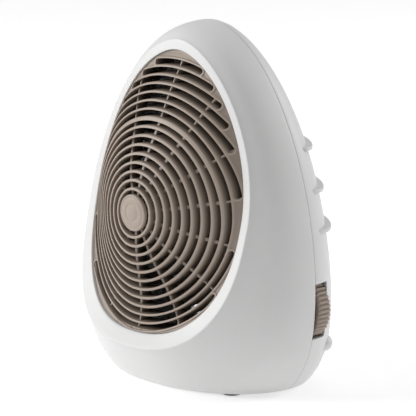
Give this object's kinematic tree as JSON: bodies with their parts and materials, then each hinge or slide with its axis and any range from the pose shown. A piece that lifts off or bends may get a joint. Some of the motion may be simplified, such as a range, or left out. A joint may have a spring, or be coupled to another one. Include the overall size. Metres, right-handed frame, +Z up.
{
  "type": "ceramic fan heater",
  "caption": "Free-standing egg-shaped ceramic fan heater with a ring grille, side thumbwheels, axial fan, motor and heating block in two moulded shells.",
  "frame": {"origin": "middle of the casing's box on the floor plane, under the rubber foot pads", "axes": "+Z up; the grille faces -Y; +X is the thermostat wheel's side"},
  "size_m": [0.2338, 0.1487, 0.27],
  "materials": {
    "shell_white": "fine spark-eroded satin, warm white polypropylene",
    "grille_taupe": "satin moulded taupe plastic",
    "wheel_taupe": "satin moulded taupe plastic with moulded ridges",
    "pad_rubber": "soft black rubber",
    "dark_plastic": "heat-resistant dark grey plastic",
    "fan_plastic": "glass-filled dark plastic",
    "switch_plastic": "black phenolic",
    "control_ceramic": "unglazed steatite",
    "stone_ceramic": "sintered grey ceramic",
    "fin_aluminium": "rolled sheet",
    "zinc_steel": "zinc plated",
    "core_steel": "stacked laminations",
    "cast_bracket": "die cast",
    "spindle_brass": "turned",
    "coil_copper": "varnished winding under tape",
    "terminal_white": "moulded polyamide",
    "bush_rubber": "black elastomer"
  },
  "bodies": {
    "casing": {"front_shell": "shell_white", "grille": "grille_taupe", "hub_cap": "grille_taupe", "rear_shell": "shell_white", "foot_pads": "pad_rubber", "thermostat_body": "control_ceramic", "thermostat_bracket": "zinc_steel", "selector_switch": "switch_plastic", "selector_bracket": "zinc_steel", "heater_frame": "dark_plastic", "ceramic_stones": "stone_ceramic", "heater_fins": "fin_aluminium", "heater_electrodes": "spindle_brass", "heater_clips": "zinc_steel", "thermal_cutout": "zinc_steel", "thermal_fuse": "zinc_steel", "fan_duct": "dark_plastic", "motor_stator": "core_steel", "motor_coil": "coil_copper", "motor_front_bearing": "cast_bracket", "motor_rear_bearing": "cast_bracket", "motor_bracket": "zinc_steel", "motor_screws": "zinc_steel", "duct_screws": "zinc_steel", "shell_screws": "zinc_steel", "bracket_screws": "zinc_steel", "tilt_switch": "switch_plastic", "terminal_block": "terminal_white", "cord_bush": "bush_rubber"},
    "thermostat_knob": {"thermostat_wheel": "wheel_taupe", "thermostat_spindle": "spindle_brass"},
    "selector_knob": {"selector_wheel": "wheel_taupe", "selector_spindle": "spindle_brass"},
    "fan": {"fan_rotor": "fan_plastic", "fan_clip": "zinc_steel", "motor_shaft": "zinc_steel", "motor_rotor": "core_steel"}
  },
  "joints": [
    {"name": "thermostat_turn", "type": "hinge", "parent": "casing", "child": "thermostat_knob", "pos_m": [0.0925, 0.02, 0.066], "axis": [0, 1, 0], "range_deg": [0, 270]},
    {"name": "selector_turn", "type": "hinge", "parent": "casing", "child": "selector_knob", "pos_m": [-0.0925, 0.02, 0.066], "axis": [0, -1, 0], "range_deg": [0, 270]},
    {"name": "fan_spin", "type": "hinge", "parent": "casing", "child": "fan", "pos_m": [0, 0.02, 0.134], "axis": [0, -1, 0], "continuous": true}
  ]
}
